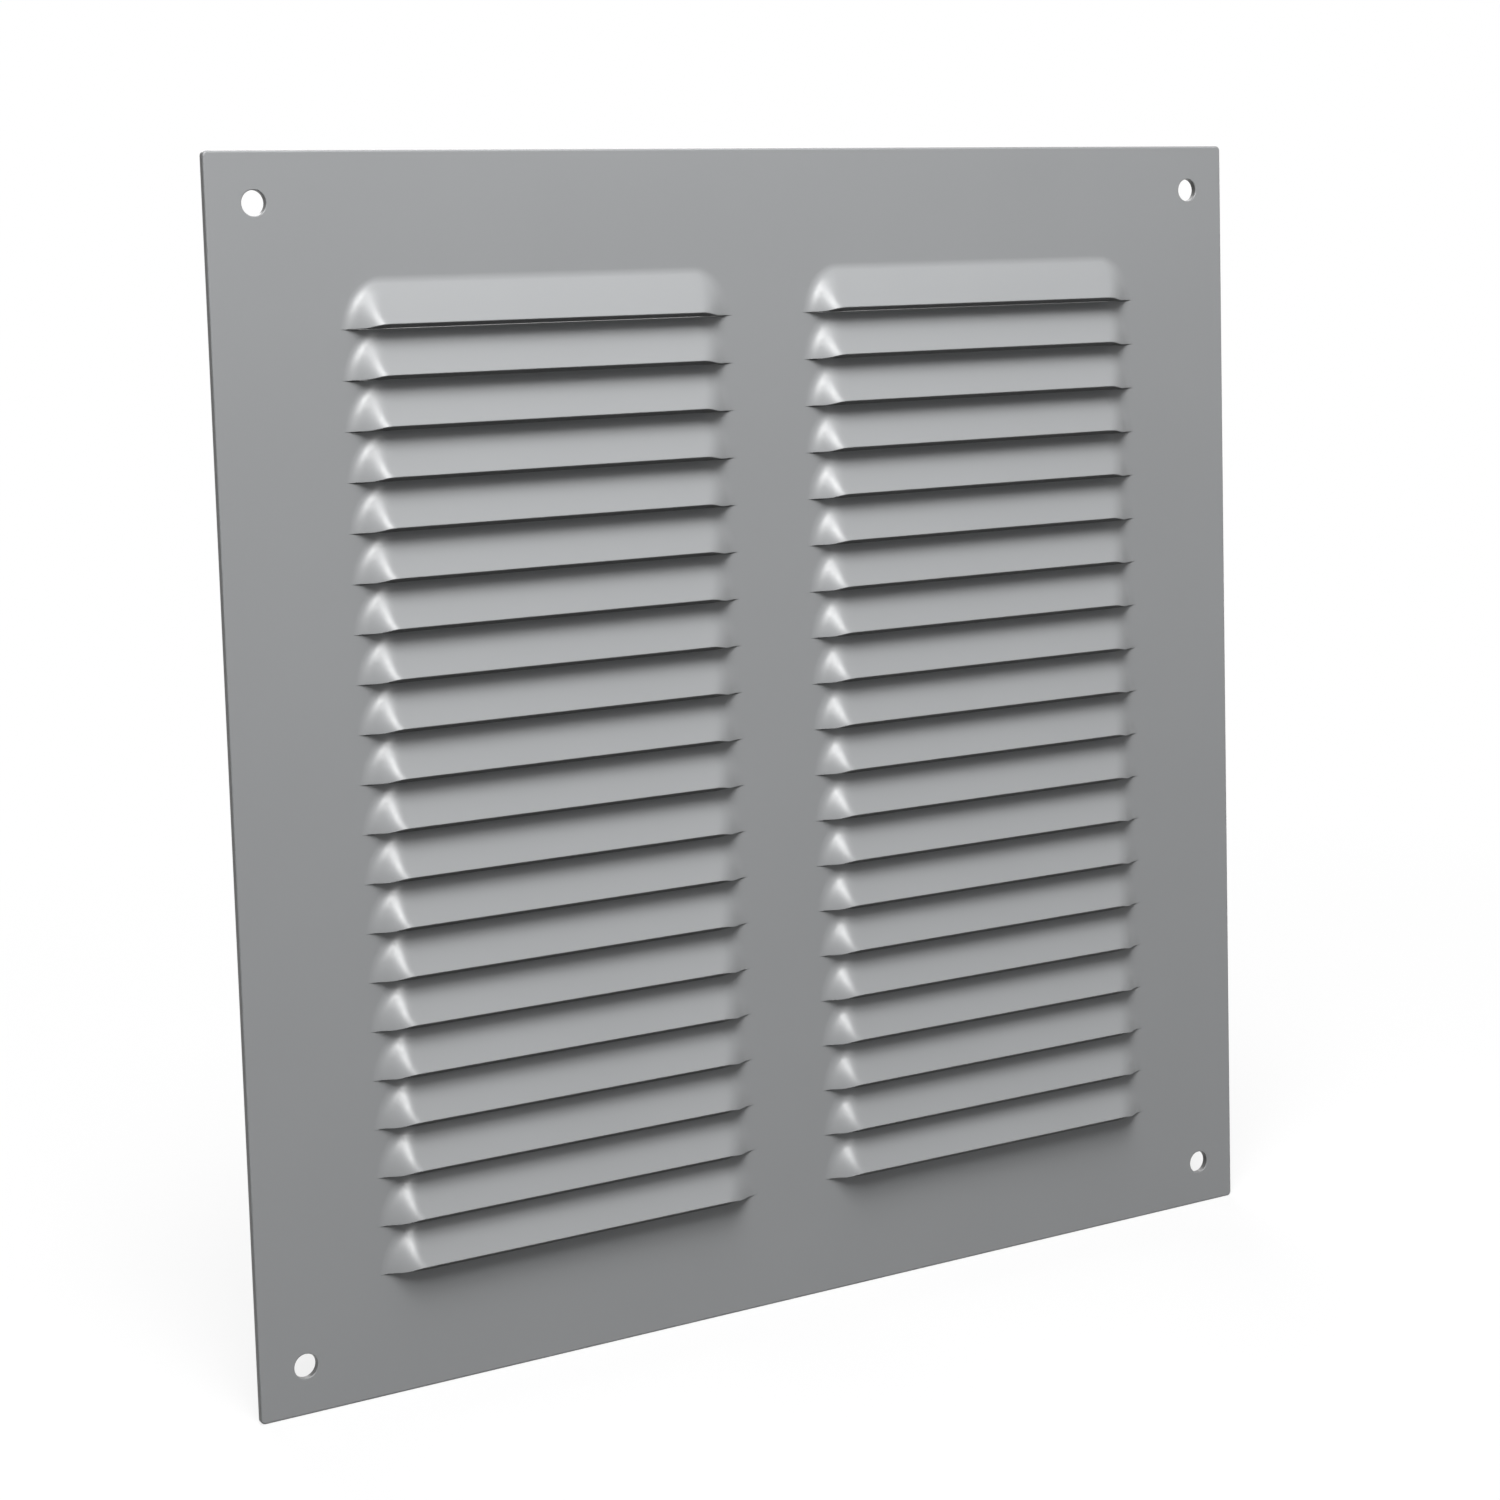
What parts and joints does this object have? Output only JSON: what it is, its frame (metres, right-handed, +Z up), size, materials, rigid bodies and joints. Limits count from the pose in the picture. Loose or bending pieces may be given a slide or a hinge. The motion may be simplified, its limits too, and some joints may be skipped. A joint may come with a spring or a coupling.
{
  "type": "ventilation grille",
  "caption": "Square sheet-metal ventilation grille with columns of pressed louvres that shed rain, and a screw hole in each corner.",
  "frame": {"origin": "middle of the flat back face, on the wall plane", "axes": "+Z up the wall, +Y from the louvres into the wall, so the louvres face -Y and open downwards; +X to the right seen from the front"},
  "size_m": [0.25, 0.0051, 0.25],
  "materials": {
    "grey_coat": "satin grey powder coat"
  },
  "bodies": {
    "root": {"louvre_plate": "grey_coat"}
  },
  "joints": []
}
